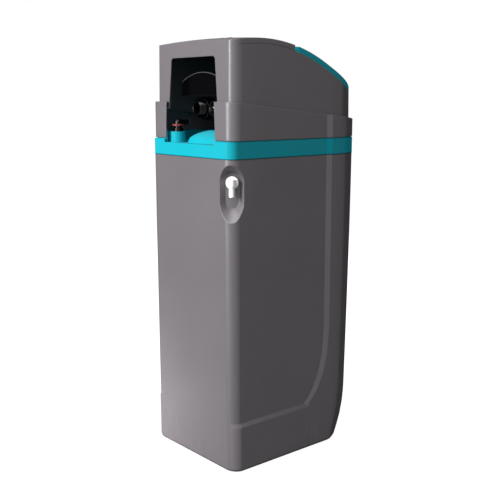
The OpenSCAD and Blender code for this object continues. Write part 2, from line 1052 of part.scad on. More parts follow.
module port_nuts() {
    lip_y = barrel_end + fitting_flange_t;
    start = barrel_end - nut_grip;
    color(black)
        for (x = [-port_x, port_x])
            difference() {
                y_rod(nut_r, start, lip_y + nut_lip, x, port_z);
                y_rod(barrel_r + slip, start - 1, lip_y, x, port_z);
                y_rod(port_d / 2 - join + slip, lip_y - 1, lip_y + nut_lip + 1, x, port_z);
                for (i = [0:knurl_count - 1])
                    translate([x, 0, port_z])
                        rotate([0, 360 * i / knurl_count, 0])
                            y_rod(knurl_r, start - 1, lip_y + nut_lip + 1, nut_r + knurl_r / 4, 0);
            }
}

module turbine_cage() {
    color(white)
        translate([-port_x, 0, port_z]) {
            difference() {
                y_rod(port_bore_r - slip, cage_y, cage_y + cage_t, 0, 0);
                y_rod(port_bore_r - 2, cage_y - 1, cage_y + cage_t + 1, 0, 0);
            }
            for (a = [0, 60, 120])
                rotate([0, a, 0])
                    translate([-port_bore_r + 1, cage_y, -cage_bar / 2])
                        cube([2 * port_bore_r - 2, cage_t, cage_bar]);
            y_rod(turbine_pin_r, cage_y, cage_y + cage_t + turbine_len + 1, 0, 0);
        }
}

module meter_turbine() {
    y0 = cage_y + cage_t + slip;
    color(white)
        translate([-port_x, 0, port_z])
            difference() {
                union() {
                    y_rod(turbine_hub_r, y0, y0 + turbine_len, 0, 0);
                    for (i = [0:blade_count - 1])
                        rotate([0, 360 * i / blade_count, 0])
                            translate([turbine_hub_r / 2, y0 + turbine_len / 2, 0])
                                rotate([blade_pitch, 0, 0])
                                    translate([0, -turbine_len / 2 + 1, -0.5])
                                        cube([turbine_r - turbine_hub_r / 2 - 0.5, turbine_len - 2, 1]);
                }
                y_rod(turbine_pin_r + run_fit, y0 - 1, y0 + turbine_len + 1, 0, 0);
            }
}

module injector_cap() {
    color(black)
        difference() {
            union() {
                x_rod(injector_r + 3, side_x, side_x + 10, injector_y, side_z);
                x_rod(side_bore_r + 1, side_x + 9, side_x + 26, injector_y, side_z);
            }
            x_rod(side_bore_r - 1.5, side_x - 1, side_x + 27, injector_y, side_z);
        }
}

module drain_elbow() {
    x = -side_x - drain_reach;
    color(black)
        difference() {
            union() {
                x_rod(drain_r, x, -side_x, drain_y, side_z);
                y_rod(drain_r - join, drain_y - drain_r, drain_y + drain_r, x, side_z);
                y_rod(drain_spout_r, drain_y, drain_end, x, side_z);
            }
            x_rod(side_bore_r, x, -side_x + 1, drain_y, side_z);
            y_rod(side_bore_r, drain_y, drain_end + 1, x, side_z);
        }
}

module piston() {
    top = piston_low + (land_count - 1) * land_step + land_h;
    color(white)
        union() {
            for (i = [0:land_count - 1])
                z_rod(piston_r - run_fit, piston_low + i * land_step, piston_low + i * land_step + land_h,
                    0, tank_y);
            z_rod(core_r, piston_low, top, 0, tank_y);
            z_rod(rod_r, top - 1, gear_z + gear_t + 2, 0, tank_y);
        }
}

module piston_bonnet() {
    top = bracket_z + bonnet_h;
    color(black)
        difference() {
            union() {
                z_rod(bonnet_r, bracket_z, top, 0, tank_y);
                z_rod(bonnet_flange_r, bracket_z, bracket_z + bracket_t - 1, 0, tank_y);
            }
            z_rod(rod_r + run_fit, bracket_z - 1, top + 1, 0, tank_y);
        }
}

// Drive

module drive_bracket() {
    post_y = tank_y + gear_dist;
    color(black)
        difference() {
            union() {
                translate([-cover_half, cover_front, bracket_z])
                    cube([2 * cover_half, cover_back - cover_front, bracket_t]);
                z_rod(2 * gear_post_r, bracket_z, gear_z - slip, 0, post_y);
                z_rod(gear_post_r, bracket_z, wheel_z + wheel_t + shaft_spare, 0, post_y);
            }
            z_rod(bonnet_flange_r + slip, bracket_z - 1, bracket_z + bracket_t + 1, 0, tank_y);
            for (x = [-stud_x, stud_x])
                z_rod(screw_r + slip, bracket_z - 1, bracket_z + bracket_t + 1, x, stud_y);
        }
}

module bracket_screws() {
    top = bracket_z + bracket_t;
    color(steel)
        for (x = [-stud_x, stud_x]) {
            z_rod(screw_r, bracket_z - screw_len, top + 1, x, stud_y);
            z_rod(screw_head_r, top, top + screw_head_h, x, stud_y);
        }
}

module drive_motor() {
    floor_z = bracket_z + bracket_t;
    color(steel)
        union() {
            z_rod(motor_r, floor_z, gear_z + gear_t, motor_at.x, motor_at.y);
            z_rod(motor_boss_r, floor_z, wheel_z - 1 - slip, motor_at.x, motor_at.y);
            z_rod(motor_shaft_r, floor_z, wheel_z + wheel_t + shaft_spare, motor_at.x, motor_at.y);
        }
}

module motor_pinion() {
    color(white)
        difference() {
            translate([motor_at.x, motor_at.y, wheel_z - 1])
                rotate([0, 0, motor_dir + 180 + 180 / pinion_teeth])
                    gear(pinion_teeth, wheel_t + 2);
            z_rod(motor_shaft_r + run_fit, wheel_z - 2, wheel_z + wheel_t + 2, motor_at.x, motor_at.y);
        }
}

module reduction_gear() {
    y = tank_y + gear_dist;
    color(white)
        difference() {
            union() {
                translate([0, y, gear_z])
                    rotate([0, 0, 180 / small_teeth])
                        gear(small_teeth, wheel_z - gear_z + 1);
                translate([0, y, wheel_z])
                    rotate([0, 0, motor_dir])
                        gear(wheel_teeth, wheel_t);
            }
            z_rod(gear_post_r + run_fit, gear_z - 1, wheel_z + wheel_t + 1, 0, y);
        }
}

module drive_gear() {
    color(white)
        difference() {
            translate([0, tank_y, gear_z])
                gear(drive_teeth, gear_t);
            z_rod(rod_r + run_fit, gear_z - 1, gear_z + gear_t + 1, 0, tank_y);
        }
}

module arch(inset, z0) {
    half = cover_half - inset;
    top = bracket_z + bracket_t + cover_side_h + cover_arch - inset;
    r = (half * half + cover_arch * cover_arch) / (2 * cover_arch);
    back_slab(cover_front + inset, cover_back - inset)
        intersection() {
            translate([-half, z0])
                square([2 * half, top + 1 - z0]);
            translate([0, top - r])
                circle(r = r, $fn = 180);
        }
}

module drive_cover() {
    low = bracket_z + bracket_t;
    color(black)
        difference() {
            arch(0, low);
            arch(cover_t, low - 1);
        }
}

// Brine side

module brine_pipe() {
    color(white)
        difference() {
            union() {
                z_rod(brine_r, check_top, boss_top + brine_grip, brine_x, brine_y);
                z_rod(stop_r, float_z - stop_h, float_z - seat_gap, brine_x, brine_y);
            }
            z_rod(brine_r - brine_wall, check_top - 1, boss_top + brine_grip + 1, brine_x, brine_y);
        }
}

module brine_float() {
    color(white)
        z_tube(float_r, brine_r + run_fit, float_z, float_z + float_h, brine_x, brine_y);
}

module air_check() {
    color(black)
        difference() {
            z_rod(check_r, floor_t, check_top, brine_x, check_y);
            z_rod(check_r - check_wall, floor_t + 2 * check_wall, check_top - 2 * check_wall,
                brine_x, check_y);
            for (i = [0:check_slots - 1])
                translate([brine_x, check_y, floor_t + 3 * check_wall])
                    rotate([0, 0, 360 * i / check_slots])
                        translate([check_r - 2 * check_wall, -check_wall / 2, 0])
                            cube([check_r, check_wall, 24]);
            z_rod(brine_r - brine_wall, check_top - 3 * check_wall, check_top + 1, brine_x, brine_y);
        }
}

module brine_elbow() {
    color(black)
        difference() {
            union() {
                z_rod(brine_flange_r, boss_top, boss_top + brine_flange_h, brine_x, brine_y);
                z_rod(brine_neck_r, boss_top, brine_bend_z, brine_x, brine_y);
                translate([brine_x, brine_y, brine_bend_z])
                    sphere(r = brine_neck_r);
                y_rod(brine_spout_r, brine_y - brine_spout_len, brine_y, brine_x, brine_bend_z);
            }
            z_rod(brine_r + run_fit, boss_top - 1, boss_top + brine_grip + seat_gap, brine_x, brine_y);
            z_rod(brine_bore_r, boss_top, brine_bend_z, brine_x, brine_y);
            y_rod(brine_bore_r, brine_y - brine_spout_len - 1, brine_y, brine_x, brine_bend_z);
        }
}

module brine_clip() {
    color(red)
        difference() {
            z_tube(clip_r, brine_neck_r + run_fit, clip_z, clip_z + clip_h, brine_x, brine_y);
            translate([brine_x - clip_slot / 2, brine_y - 2 * clip_r, clip_z - 1])
                cube([clip_slot, 2 * clip_r, clip_h + 2]);
        }
}

cabinet();
support_frame();
collar();
hood();
salt_lid();
lid_hinge_pins();
top_panel();
display_window();
circuit_board();
menu_button();
up_button();
down_button();
regenerate_button();
overflow_elbow();
overflow_gasket();
overflow_nut();
resin_tank();
tank_boot();
riser_tube();
lower_basket();
upper_basket();
resin_bed();
neck_seal();
valve_body();
inlet_fitting();
outlet_fitting();
port_nuts();
turbine_cage();
meter_turbine();
injector_cap();
drain_elbow();
piston();
piston_bonnet();
drive_bracket();
bracket_screws();
drive_motor();
motor_pinion();
reduction_gear();
drive_gear();
drive_cover();
brine_pipe();
brine_float();
air_check();
brine_elbow();
brine_clip();
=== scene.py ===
"""Cabinet water softener: moulded shells, threaded ports, button marks and finishes around the frame."""
import json
from math import radians

import bmesh
import bpy
from bpy.props import FloatProperty, FloatVectorProperty, PointerProperty
from mathutils import Matrix, Vector


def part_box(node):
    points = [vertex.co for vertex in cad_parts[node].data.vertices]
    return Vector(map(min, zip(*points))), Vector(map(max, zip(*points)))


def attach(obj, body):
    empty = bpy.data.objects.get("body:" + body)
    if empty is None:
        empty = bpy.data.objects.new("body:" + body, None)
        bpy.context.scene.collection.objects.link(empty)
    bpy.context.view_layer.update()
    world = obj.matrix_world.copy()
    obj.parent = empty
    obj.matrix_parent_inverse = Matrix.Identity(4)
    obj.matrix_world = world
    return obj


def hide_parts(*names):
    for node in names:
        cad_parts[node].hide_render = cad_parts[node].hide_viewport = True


bl_info = {
    "name": "Water softener",
    "version": (1, 0, 0),
    "blender": (4, 5, 0),
    "location": "View3D > Sidebar > Softener",
    "description": "Dresses a cabinet water softener and sets it in a studio",
    "category": "Object",
}

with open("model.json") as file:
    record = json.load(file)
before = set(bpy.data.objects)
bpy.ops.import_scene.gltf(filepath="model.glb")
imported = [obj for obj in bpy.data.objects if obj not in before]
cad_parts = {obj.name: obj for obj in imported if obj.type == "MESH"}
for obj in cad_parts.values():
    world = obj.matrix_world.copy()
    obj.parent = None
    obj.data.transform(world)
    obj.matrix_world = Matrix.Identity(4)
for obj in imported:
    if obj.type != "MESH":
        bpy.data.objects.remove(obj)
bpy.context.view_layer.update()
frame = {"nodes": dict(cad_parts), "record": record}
BODY_OF = {node: body for body, nodes in frame["record"]["behaviour"]["bodies"].items() for node in nodes}
SLOT_OF = {part["node"]: part["material_slot"] for part in frame["record"]["subparts"]}
MM_PER_M = 1000

# Nodes that get a new mesh; all others keep their CAD form
SHELLS = ["cabinet", "support_frame", "collar", "hood", "salt_lid", "top_panel", "drive_cover"]
FITTINGS = ["valve_body", "port_nuts", "overflow_elbow", "brine_elbow", "brine_clip", "drain_elbow",
            "injector_cap", "menu_button", "up_button", "down_button", "regenerate_button", "display_window"]
PORTS = ["inlet_fitting", "outlet_fitting"]

# Box round the scoop in the cabinet's corner, and height of the band's lower edge, where a shadow line is
# painted
SCOOP_LOW, SCOOP_HIGH = (-0.2, 0.17, 0.65), (-0.1, 0.27, 0.795)
BAND_FOOT = 0.804

# Copies of CAD meshes: what counts as one point and one plane
MERGE_DISTANCE = 2e-6
FLAT_ANGLE = radians(0.05)

# Rounded edges: how sharp they are before, their steps, and the shortest as a share of the rounding
SHELL_ANGLE = radians(15)
FITTING_ANGLE = radians(40)
SCOOP_SEGMENTS = 3
EDGE_SEGMENTS = 2
SHORTEST_SHARE = 1 / 8

# Angles above which shading stays sharp
SMOOTH_ANGLE = radians(32)
MOULDING_SMOOTH_ANGLE = radians(24)

# Ports: bore, flange and neck, the thread's end and the rounded mouth
PORT_BORE = 0.013
PORT_FLANGE = 0.004
NECK_STEP = 0.0005
THREAD_TURN = ((1.0, 0.1), (0.0, 0.45), (0.0, 0.6))  # shares of the depth and of the pitch
THREAD_END = 0.0006
MOUTH_ROUND = 0.003
MOUTH_MIDDLE = 0.0009
PORT_STEPS = 72

# Grey bead on the black drive cover, a painted highlight along its arched edge, and marks on the buttons as
# shares of their size
HIGHLIGHT_LIP_SEGMENTS = 10
EDGE_DIGITS = 5
EDGE_TOLERANCE = 1e-5
BAR_ASPECT = 0.16
RING_INNER, RING_OUTER = 0.36, 0.5
RING_SEGMENTS = 32

# Plastics: how far they face away from the eye where the peak of gloss ends, and where the rest fades
PEAK_RANGE = (0.15, 0.25)
FADE_RANGE = (0.2, 0.55)
GRAIN_DEPTH = 0.0004
EDGE_SAMPLES = 6
MOULDED = {
    "grey_plastic": dict(gloss=(0.38, 0.45), drift=0.01, grain=420.0, bump=0.8, dust=0.06, scuffs=0.05,
                         shine=0.3, peak=0.6, soft=0.004),
    "teal_plastic": dict(gloss=(0.2, 0.28), drift=0.005, grain=1100.0, bump=0.03, dust=0.04,
                         shine=0.06, peak=0.03),
    "black_plastic": dict(gloss=(0.15, 0.25), drift=0.0, grain=800.0, bump=0.05, dust=0.0,
                          shine=0.03, peak=0.2),
    "gloss_black_plastic": dict(gloss=(0.08, 0.14), drift=0.0, grain=600.0, bump=0.01, dust=0.0,
                                shine=0.02, peak=0.2),
    "dark_plastic": dict(gloss=(0.34, 0.48), drift=0.03, grain=1100.0, bump=0.1, dust=0.08),
    "white_plastic": dict(gloss=(0.25, 0.38), drift=0.02, grain=900.0, bump=0.04, dust=0.04),
    "red_plastic": dict(gloss=(0.2, 0.32), drift=0.03, grain=900.0, bump=0.04, dust=0.04),
    "rubber": dict(gloss=(0.65, 0.85), drift=0.02, grain=500.0, bump=0.2, dust=0.06),
}
WHITE = (1.0, 1.0, 1.0, 1.0)
DUST_COLOUR = (0.72, 0.7, 0.67, 1.0)
SCUFF_COLOUR = (0.75, 0.75, 0.76, 1.0)
SCUFF_HEIGHT = 0.16
# Painted shadow along the foot of the band: its dark colour and how high it reaches
PAINTED_PARTING_SHADOW = (0.0, 0.01, 0.012, 1.0)
PAINTED_SHADOW_DEPTH = 0.0032
WINDING_ANGLE = radians(35)

# Colour sockets of the Mix node, whose names repeat: factor, first and second colour, result
MIX_INPUTS = (0, 6, 7)
MIX_RESULT = 2

# Place, aim and size of each lamp
LAMPS = {
    "key": ((0.35, 2.9, 1.4), (-0.1, 0.25, 0.6), (0.2, 1.4)),
    "fill": ((0.35, 0.5, 0.03), (0.12, 0.25, 0.12), (0.3, 0.05)),
    "front": ((2.2, -2.2, 1.7), (0.0, 0.0, 0.6), (1.5, 1.5)),
    "top": ((-0.3, 1.3, 2.5), (0.0, 0.2, 0.9), (1.2, 1.2)),
}
FLOOR_SIZE = 12.0
FLOOR_TONE = (0.12, 0.12, 0.12, 1.0)
FLOOR_ROUGHNESS = 0.9
FLOOR_GLOW = 0.93
SENSOR_WIDTH = 36.0
CLIP_END = 60.0


def colour(name, description, default):
    return FloatVectorProperty(name=name, description=description, default=default, size=3,
                               subtype="COLOR", min=0.0, max=1.0)


def length(name, description, default):
    return FloatProperty(name=name, description=description, default=default, min=0.0, unit="LENGTH",
                         precision=5)


def power(name, description, default):
    return FloatProperty(name=name, description=description, default=default, min=0.0, unit="POWER")


class SoftenerColours(bpy.types.PropertyGroup):
    """Colours of the mouldings"""
    grey_plastic: colour("Cabinet grey", "Colour of the cabinet, the collar and the hood",
                         (0.097, 0.088, 0.096))
    teal_plastic: colour("Band teal", "Colour of the band and the salt lid", (0.004, 0.28, 0.345))
    black_plastic: colour("Valve black", "Colour of the valve and its fittings", (0.0015, 0.0015, 0.002))
    gloss_black_plastic: colour("Cover black", "Colour of the drive cover and the display",
                                (0.001, 0.001, 0.0014))
    dark_plastic: colour("Button grey", "Colour of the dark buttons", (0.03, 0.027, 0.029))
    white_plastic: colour("Fitting white", "Colour of the overflow elbow and the inner plastics",
                          (0.98, 0.97, 0.96))
    red_plastic: colour("Clip red", "Colour of the clip on the brine elbow", (0.17, 0.006, 0.005))
    tank_laminate: colour("Tank blue", "Colour of the wound resin tank", (0.03, 0.1, 0.25))
    resin_beads: colour("Resin amber", "Colour of the resin beads", (0.43, 0.18, 0.03))
    board_green: colour("Board green", "Colour of the circuit board", (0.03, 0.15, 0.06))
    rubber: colour("Seal black", "Colour of the rubber seals", (0.02, 0.02, 0.02))
    steel: colour("Steel", "Colour of the pins, the screws and the motor can", (0.55, 0.56, 0.58))


class SoftenerSizes(bpy.types.PropertyGroup):
    """Sizes of the details"""
    scoop_round: length("Scoop rounding", "Rounding of the rim of the scoop at the corner", 0.004)
    shell_round: length("Shell rounding", "Rounding of the edges of the large mouldings", 0.002)
    fitting_round: length("Fitting rounding", "Rounding of the edges of the small mouldings", 0.0005)
    thread_pitch: length("Thread pitch", "Distance between the turns of the port threads", 0.0023)
    thread_depth: length("Thread depth", "Depth of the port threads", 0.0013)
    # The bead's grey stands in for a highlight on the black drive cover: painted highlight
    highlight_lip_round: length("Highlight lip rounding", "Radius of the bead along the back of the drive cover", 0.0011)
    mark_size: length("Mark size", "Width of the marks on the buttons", 0.006)
    mark_height: length("Mark height", "How thick the marks are", 0.0003)


class SoftenerStage(bpy.types.PropertyGroup):
    """Camera and lights"""
    camera_place: FloatVectorProperty(name="Camera place", description="Where the camera stands",
                                      default=(-1.733, 1.517, 0.953), size=3, subtype="TRANSLATION")
    camera_aim: FloatVectorProperty(name="Camera aim", description="Direction that the camera looks in",
                                    default=(0.7502, -0.6364, -0.1793), size=3, subtype="DIRECTION")
    camera_lens: FloatProperty(name="Lens", description="Focal length on a 36 mm sensor", default=60.3,
                               min=1.0)
    key_power: power("Key light", "Power of the light on the back of the cabinet", 107.0)
    fill_power: power("Fill light", "Power of the low light near the floor behind the cabinet", 3.0)
    front_power: power("Front light", "Power of the soft light on the front", 110.0)
    top_power: power("Top light", "Power of the soft light from above and behind", 40.0)
    ambient: FloatProperty(name="Ambient", description="Strength of the light from all round",
                           default=0.47, min=0.0)


# Node building

def feed(tree, socket, value):
    """Links a socket to another one, or sets its value."""
    if isinstance(value, bpy.types.NodeSocket):
        tree.links.new(value, socket)
    else:
        socket.default_value = value


def add_node(tree, kind, settings=None, **inputs):
    """Node with its settings, and inputs whose names have underscores for spaces."""
    node = tree.nodes.new(kind)
    for name, value in (settings or {}).items():
        setattr(node, name, value)
    for name, value in inputs.items():
        feed(tree, node.inputs[name.replace("_", " ")], value)
    return node


def new_group(name, inputs, outputs):
    group = bpy.data.node_groups.new(name, "ShaderNodeTree")
    for label, kind, default in inputs:
        socket = group.interface.new_socket(name=label, in_out="INPUT", socket_type=kind)
        socket.default_value = default
    for label, kind in outputs:
        group.interface.new_socket(name=label, in_out="OUTPUT", socket_type=kind)
    return group, group.nodes.new("NodeGroupInput"), group.nodes.new("NodeGroupOutput")


def object_place(tree):
    return add_node(tree, "ShaderNodeTexCoord").outputs["Object"]


def upward(tree, vector):
    """Z of a place or a direction."""
    return add_node(tree, "ShaderNodeSeparateXYZ", Vector=vector).outputs["Z"]


def mix_colour(tree, factor, first, second):
    """Colour between two others."""
    node = add_node(tree, "ShaderNodeMix", {"data_type": "RGBA"})
    for index, value in zip(MIX_INPUTS, (factor, first, second)):
        feed(tree, node.inputs[index], value)
    return node.outputs[MIX_RESULT]


def map_range(tree, value, source, target):
    """Value moved from one range to another, and held at its ends."""
    return add_node(tree, "ShaderNodeMapRange", Value=value, From_Min=source[0], From_Max=source[1],
                    To_Min=target[0], To_Max=target[1]).outputs["Result"]


def combine(tree, operation, first, second):
    """Result of an operation on two values."""
    node = add_node(tree, "ShaderNodeMath", {"operation": operation})
    feed(tree, node.inputs[0], first)
    feed(tree, node.inputs[1], second)
    return node.outputs[0]


def moulding_group():
    """Moulded plastic: slow drift of the tone, uneven gloss and a fine spark-eroded grain."""
    group, inside, out = new_group(
        "Moulding",
        [("Tone", "NodeSocketColor", (0.5, 0.5, 0.5, 1.0)), ("Drift", "NodeSocketFloat", 0.06),
         ("Gloss low", "NodeSocketFloat", 0.35), ("Gloss high", "NodeSocketFloat", 0.5),
         ("Grain scale", "NodeSocketFloat", 900.0)],
        [("Colour", "NodeSocketColor"), ("Roughness", "NodeSocketFloat"), ("Grain", "NodeSocketFloat")])
    given = inside.outputs
    place = object_place(group)
    slow = add_node(group, "ShaderNodeTexNoise", Vector=place, Scale=5.0, Detail=3.0).outputs["Fac"]
    patch = add_node(group, "ShaderNodeTexNoise", Vector=place, Scale=38.0, Detail=4.0,
                     Roughness=0.6).outputs["Fac"]
    grain = add_node(group, "ShaderNodeTexNoise", Vector=place, Scale=given["Grain scale"],
                     Detail=2.0).outputs["Fac"]
    lift = map_range(group, slow, (0.3, 0.7), (0.0, given["Drift"]))
    gloss = map_range(group, patch, (0.35, 0.7), (given["Gloss low"], given["Gloss high"]))
    group.links.new(mix_colour(group, lift, given["Tone"], WHITE), out.inputs["Colour"])
    group.links.new(gloss, out.inputs["Roughness"])
    group.links.new(grain, out.inputs["Grain"])
    return group


def dust_group():
    """Dust that settles on upward faces, and scuffs low down near the floor."""
    group, inside, out = new_group(
        "Dust and scuffs",
        [("Colour", "NodeSocketColor", (0.5, 0.5, 0.5, 1.0)), ("Dust", "NodeSocketFloat", 0.12),
         ("Scuffs", "NodeSocketFloat", 0.15)],
        [("Colour", "NodeSocketColor")])
    given = inside.outputs
    place = object_place(group)
    tilt = upward(group, add_node(group, "ShaderNodeNewGeometry").outputs["Normal"])
    specks = add_node(group, "ShaderNodeTexNoise", Vector=place, Scale=160.0, Detail=5.0,
                      Roughness=0.7).outputs["Fac"]
    settled = combine(group, "MULTIPLY", map_range(group, tilt, (0.6, 1.0), (0.0, given["Dust"])),
                      map_range(group, specks, (0.4, 0.7), (0.3, 1.0)))
    stretched = add_node(group, "ShaderNodeMapping", Vector=place, Scale=(1.0, 1.0, 0.12)).outputs["Vector"]
    lines = add_node(group, "ShaderNodeTexNoise", Vector=stretched, Scale=55.0, Detail=6.0,
                     Roughness=0.75).outputs["Fac"]
    low_down = map_range(group, upward(group, place), (0.0, SCUFF_HEIGHT), (given["Scuffs"], 0.0))
    rubbed = combine(group, "MULTIPLY", low_down, map_range(group, lines, (0.55, 0.75), (0.0, 1.0)))
    dusted = mix_colour(group, settled, given["Colour"], DUST_COLOUR)
    group.links.new(mix_colour(group, rubbed, dusted, SCUFF_COLOUR), out.inputs["Colour"])
    return group


# Finishes

def start_finish(slot):
    """New material for a slot; gives its tree and its shader."""
    material = bpy.data.materials.new(slot + "_finish")
    material.use_nodes = True
    return material.node_tree, material.node_tree.nodes["Principled BSDF"]


def finish(slot):
    return bpy.data.materials[slot + "_finish"]


def slot_tone(slot):
    return (*getattr(bpy.context.scene.softener_colours, slot), 1.0)


def scaled(tone, factor, lift=0.0):
    """Darker or paler version of a tone."""
    return tuple(min(1.0, factor * part + lift) for part in tone[:3]) + (1.0,)


def add_bump(tree, shader, height, strength, distance, soft=0.0):
    """Bump from a height, over edges that the shader softens where a radius is given."""
    bump = add_node(tree, "ShaderNodeBump", Height=height, Strength=strength, Distance=distance)
    if soft:
        rounding = add_node(tree, "ShaderNodeBevel", {"samples": EDGE_SAMPLES}, Radius=soft)
        tree.links.new(rounding.outputs["Normal"], bump.inputs["Normal"])
    tree.links.new(bump.outputs["Normal"], shader.inputs["Normal"])


def moulded(slot, groups, gloss, drift, grain, bump, dust, scuffs=0.0, shine=0.25, peak=0.25, soft=0.0):
    """Moulded plastic in the colour of a slot, with its own gloss where it faces the eye."""
    tree, shader = start_finish(slot)
    skin = add_node(tree, "ShaderNodeGroup", {"node_tree": groups["moulding"]}, Tone=slot_tone(slot),
                    Drift=drift, Gloss_low=gloss[0], Gloss_high=gloss[1], Grain_scale=grain)
    dirt = add_node(tree, "ShaderNodeGroup", {"node_tree": groups["dust"]}, Colour=skin.outputs["Colour"],
                    Dust=dust, Scuffs=scuffs)
    tree.links.new(dirt.outputs["Colour"], shader.inputs["Base Color"])
    tree.links.new(skin.outputs["Roughness"], shader.inputs["Roughness"])
    facing = add_node(tree, "ShaderNodeLayerWeight", Blend=0.5).outputs["Facing"]
    level = combine(tree, "MULTIPLY", map_range(tree, facing, PEAK_RANGE, (peak, shine)),
                    map_range(tree, facing, FADE_RANGE, (1.0, 0.0)))
    tree.links.new(level, shader.inputs["Specular IOR Level"])
    add_bump(tree, shader, skin.outputs["Grain"], bump, GRAIN_DEPTH, soft)


def brushed_steel():
    tree, shader = start_finish("steel")
    tone = slot_tone("steel")
    stretched = add_node(tree, "ShaderNodeMapping", Vector=object_place(tree), Scale=(1.0, 1.0, 30.0))
    lines = add_node(tree, "ShaderNodeTexNoise", Vector=stretched.outputs["Vector"], Scale=60.0,
                     Detail=4.0).outputs["Fac"]
    shader.inputs["Metallic"].default_value = 1.0
    tree.links.new(mix_colour(tree, lines, scaled(tone, 0.7), tone), shader.inputs["Base Color"])
    tree.links.new(map_range(tree, lines, (0.3, 0.7), (0.22, 0.42)), shader.inputs["Roughness"])
    add_bump(tree, shader, lines, strength=0.1, distance=0.0002)


def wound_laminate():
    """Wound glass fibre: two crossing sets of bands under a clear skin."""
    tree, shader = start_finish("tank_laminate")
    tone = slot_tone("tank_laminate")
    place = object_place(tree)
    bands = []
    for angle in (-WINDING_ANGLE, WINDING_ANGLE):
        turned = add_node(tree, "ShaderNodeMapping", Vector=place, Rotation=(0.0, angle, 0.0))
        bands.append(add_node(tree, "ShaderNodeTexWave", {"bands_direction": "Z"},
                              Vector=turned.outputs["Vector"], Scale=45.0, Distortion=1.5,
                              Detail=2.0).outputs["Fac"])
    both = combine(tree, "MAXIMUM", *bands)
    tree.links.new(mix_colour(tree, both, tone, scaled(tone, 1.6, 0.02)), shader.inputs["Base Color"])
    shader.inputs["Roughness"].default_value = 0.3
    shader.inputs["Coat Weight"].default_value = 0.5
    add_bump(tree, shader, both, strength=0.2, distance=0.0006)


def bead_bed():
    tree, shader = start_finish("resin_beads")
    tone = slot_tone("resin_beads")
    cells = add_node(tree, "ShaderNodeTexVoronoi", Vector=object_place(tree),
                     Scale=1200.0).outputs["Distance"]
    tree.links.new(mix_colour(tree, cells, tone, scaled(tone, 0.45)), shader.inputs["Base Color"])
    shader.inputs["Roughness"].default_value = 0.35
    add_bump(tree, shader, cells, strength=0.6, distance=0.0004)


def coated_board():
    tree, shader = start_finish("board_green")
    tone = slot_tone("board_green")
    tracks = add_node(tree, "ShaderNodeTexBrick", Vector=object_place(tree), Scale=140.0,
                      Mortar_Size=0.05).outputs["Fac"]
    tree.links.new(mix_colour(tree, tracks, tone, scaled(tone, 1.8)), shader.inputs["Base Color"])
    shader.inputs["Roughness"].default_value = 0.35
    add_bump(tree, shader, tracks, strength=0.2, distance=0.0002)


def paint_parting_shadow(slot, height, depth):
    """Painted shadow: a dark line painted into the colour at the height where a moulding meets the one under
    it, in place of a shadow gap.
    """
    tree = finish(slot).node_tree
    base = tree.nodes["Principled BSDF"].inputs["Base Color"]
    shadow = map_range(tree, upward(tree, object_place(tree)), (height, height + depth), (0.0, 1.0))
    tree.links.new(mix_colour(tree, shadow, PAINTED_PARTING_SHADOW, base.links[0].from_socket), base)


def make_finishes():
    """One material for each slot of the record."""
    groups = {"moulding": moulding_group(), "dust": dust_group()}
    for slot, look in MOULDED.items():
        moulded(slot, groups, **look)
    brushed_steel()
    wound_laminate()
    bead_bed()
    coated_board()
    # Painted shadow along the band's lower edge, where it meets the cabinet
    paint_parting_shadow("teal_plastic", BAND_FOOT, PAINTED_SHADOW_DEPTH)


# Mesh building

def shade(mesh, angle):
    mesh.shade_smooth()
    mesh.set_sharp_from_angle(angle=angle)


def place_piece(bm, name, node, slot, angle=SMOOTH_ANGLE):
    """Makes an object of a bmesh that moves with a CAD node."""
    mesh = bpy.data.meshes.new(name)
    bmesh.ops.recalc_face_normals(bm, faces=bm.faces)
    bm.to_mesh(mesh)
    bm.free()
    shade(mesh, angle)
    mesh.materials.append(finish(slot))
    piece = bpy.data.objects.new(name, mesh)
    bpy.context.scene.collection.objects.link(piece)
    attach(piece, BODY_OF[node])
    return piece


def in_scoop(vert):
    return all(SCOOP_LOW[i] < vert.co[i] < SCOOP_HIGH[i] for i in range(3))


def inside_scoop(edge):
    return all(in_scoop(vert) for vert in edge.verts)


def outside_scoop(edge):
    return not any(in_scoop(vert) for vert in edge.verts)


def round_edges(bm, width, angle, segments, shortest, chosen=None):
    """Rounds the edges above an angle and a length, all of them or those that pass a test."""
    sharp = [e for e in bm.edges if len(e.link_faces) == 2 and e.calc_face_angle(0.0) > angle
             and e.calc_length() > shortest and (chosen is None or chosen(e))]
    bmesh.ops.bevel(bm, geom=sharp, offset=width, offset_type="OFFSET", segments=segments, profile=0.5,
                    affect="EDGES", clamp_overlap=True, material=-1)


def flat_copy(node):
    """Copy of a CAD node with its flat triangles joined."""
    bm = bmesh.new()
    bm.from_mesh(frame["nodes"][node].data)
    bmesh.ops.remove_doubles(bm, verts=bm.verts, dist=MERGE_DISTANCE)
    bmesh.ops.dissolve_limit(bm, angle_limit=FLAT_ANGLE, verts=bm.verts, edges=bm.edges)
    return bm


def stand_in(bm, node):
    """Puts a finished copy in the place of its CAD node."""
    piece = place_piece(bm, node + "_moulding", node, SLOT_OF[node], MOULDING_SMOOTH_ANGLE)
    weight = piece.modifiers.new("Even shading", "WEIGHTED_NORMAL")
    weight.keep_sharp = True
    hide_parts(node)


def dress(node):
    """Gives a CAD node the finish of its slot and smooth shading on its round faces."""
    piece = frame["nodes"][node]
    piece.data.materials.clear()
    piece.data.materials.append(finish(SLOT_OF[node]))
    shade(piece.data, SMOOTH_ANGLE)


class SOFTENER_OT_finishes(bpy.types.Operator):
    """Builds the materials and dresses the pieces that keep their CAD form"""
    bl_idname = "softener.finishes"
    bl_label = "Finishes"

    def execute(self, context):
        make_finishes()
        for node in frame["nodes"]:
            if node not in SHELLS + FITTINGS + PORTS:
                dress(node)
        return {"FINISHED"}


